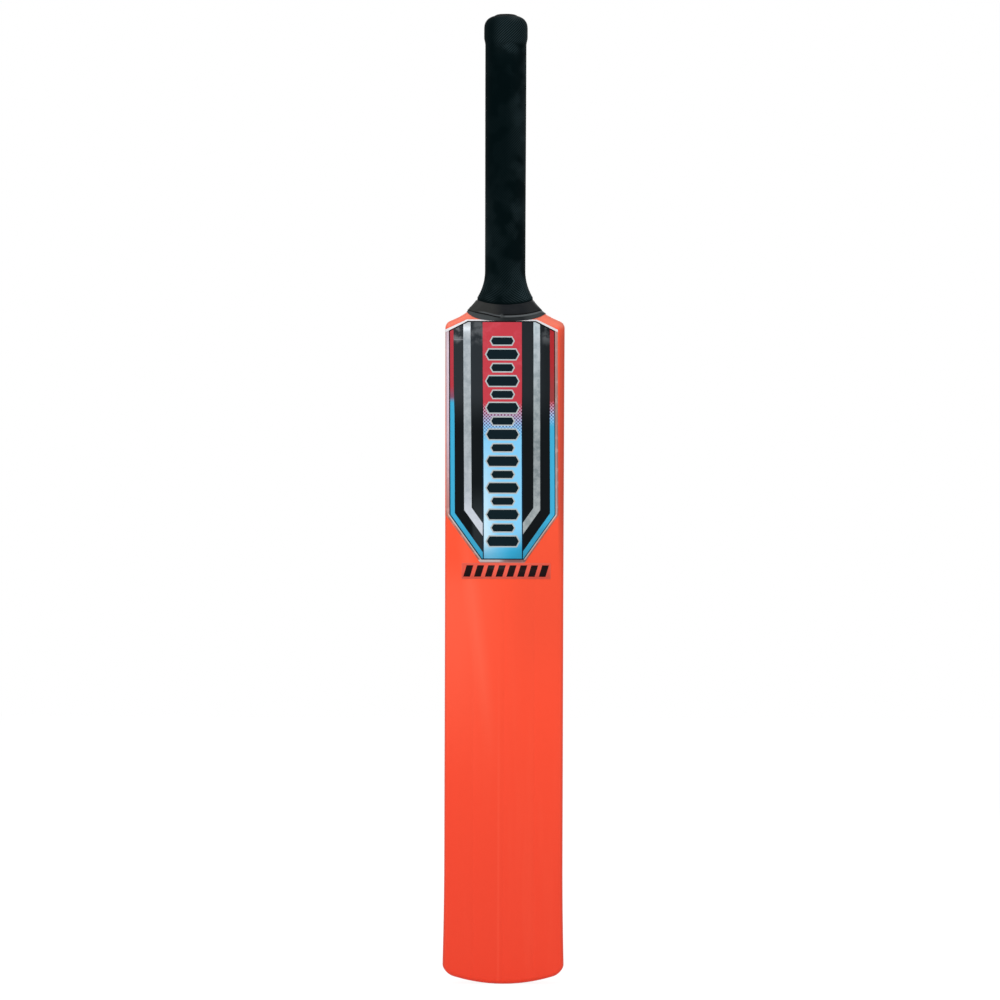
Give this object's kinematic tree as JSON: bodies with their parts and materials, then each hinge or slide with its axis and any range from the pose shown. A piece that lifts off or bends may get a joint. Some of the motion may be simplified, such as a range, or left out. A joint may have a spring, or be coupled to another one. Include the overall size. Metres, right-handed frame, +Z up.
{
  "type": "cricket bat",
  "caption": "Full-size cricket bat with a hollow ribbed plastic blade, ridged back, wooden handle core, rubber grip, binding tape and foil face label.",
  "frame": {"origin": "middle of the bat's width and depth, level with the lowest point of the toe", "axes": "+Z up the blade and handle, -Y out of the hitting face, +X to the right as seen from in front of the face"},
  "size_m": [0.1078, 0.0434, 0.8641],
  "materials": {
    "shell_plastic": "satin moulded",
    "core_wood": "bare",
    "plug_plastic": "turned",
    "grip_rubber": "fine cross pattern",
    "tape_vinyl": "satin",
    "label_foil": "printed silver foil",
    "label_film": "clear film over the blade"
  },
  "bodies": {
    "root": {"front_shell": "shell_plastic", "rear_shell": "shell_plastic", "handle_core": "core_wood", "handle_plug": "plug_plastic", "rubber_grip": "grip_rubber", "upper_tape": "tape_vinyl", "lower_tape": "tape_vinyl", "face_label": "label_foil", "lower_label": "label_film"}
  },
  "joints": []
}
